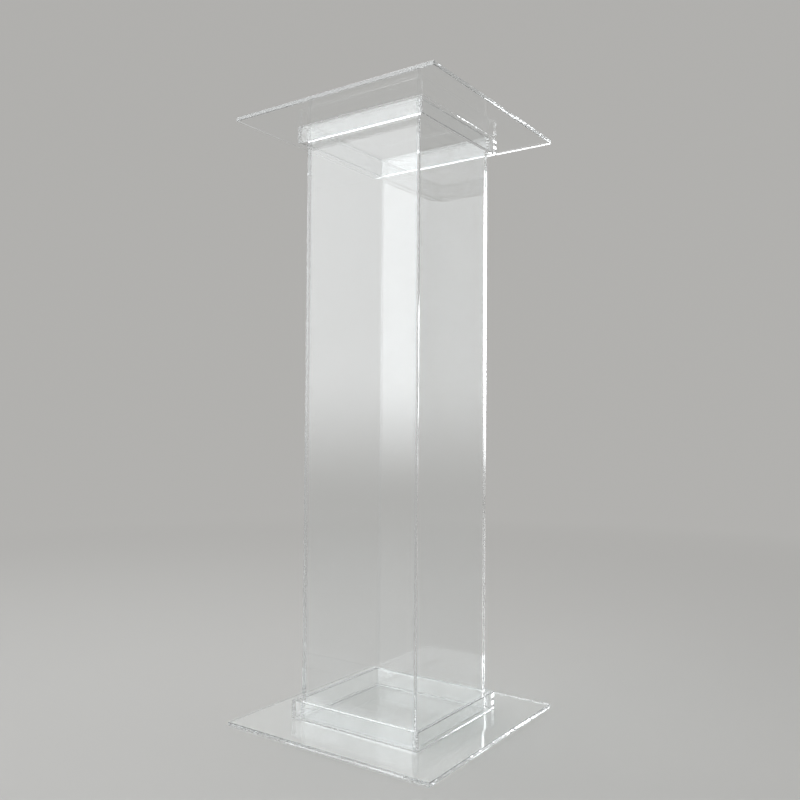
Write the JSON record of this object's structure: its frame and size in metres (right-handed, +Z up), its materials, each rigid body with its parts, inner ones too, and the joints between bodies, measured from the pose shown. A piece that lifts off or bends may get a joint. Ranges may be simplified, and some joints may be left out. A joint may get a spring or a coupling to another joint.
{
  "type": "acrylic display stand",
  "caption": "Tall clear acrylic pedestal: square base and top plates, each with a low collar that holds one end of a hollow column of cemented panels.",
  "frame": {"origin": "middle of the base plate's underside, on the ground", "axes": "+Z up along the column; -Y out of the front face, and +X out of the right face; the column is wider along X than along Y"},
  "size_m": [0.3, 0.3, 0.77],
  "materials": {
    "clear_plate": "clear cast acrylic, glossy faces with polished edges",
    "clear_panel": "clear cast acrylic, glossy faces with cemented corners",
    "clear_strip": "clear cast acrylic, glossy faces with polished edges"
  },
  "bodies": {
    "base": {"base_plate": "clear_plate", "base_collar_front": "clear_strip", "base_collar_back": "clear_strip", "base_collar_left": "clear_strip", "base_collar_right": "clear_strip"},
    "column": {"column_panel_front": "clear_panel", "column_panel_back": "clear_panel", "column_panel_left": "clear_panel", "column_panel_right": "clear_panel"},
    "top": {"top_plate": "clear_plate", "top_collar_front": "clear_strip", "top_collar_back": "clear_strip", "top_collar_left": "clear_strip", "top_collar_right": "clear_strip"}
  },
  "joints": [
    {"name": "column_lift", "type": "slide", "parent": "base", "child": "column", "axis": [0, 0, 1], "range_m": [0, 0.06]},
    {"name": "top_lift", "type": "slide", "parent": "column", "child": "top", "axis": [0, 0, 1], "range_m": [0, 0.06]}
  ]
}
